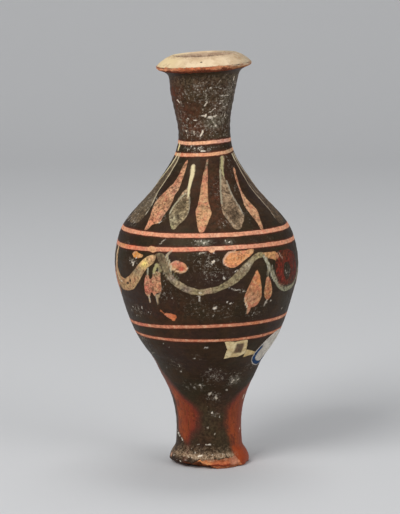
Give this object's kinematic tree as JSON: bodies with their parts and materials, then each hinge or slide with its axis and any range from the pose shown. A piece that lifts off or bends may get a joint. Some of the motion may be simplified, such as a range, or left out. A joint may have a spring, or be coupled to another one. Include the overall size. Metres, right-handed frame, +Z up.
{
  "type": "painted ceramic unguentarium",
  "caption": "Small ancient perfume bottle: flanged lip, tapering neck, full belly, short stem and chipped foot, dark slip painted with bands, tongues and a garland.",
  "frame": {"origin": "centre of the flat underside of the foot, on the surface the bottle stands on", "axes": "+Z up from the foot to the mouth; the front, with the whole swag of the garland, faces -Y; the lip is higher on its +X side"},
  "size_m": [0.0706, 0.0706, 0.1596],
  "materials": {
    "slipped_clay": "worn dark brown-black slip over orange clay, satin"
  },
  "bodies": {
    "root": {"unguentarium_body": "slipped_clay"}
  },
  "joints": []
}
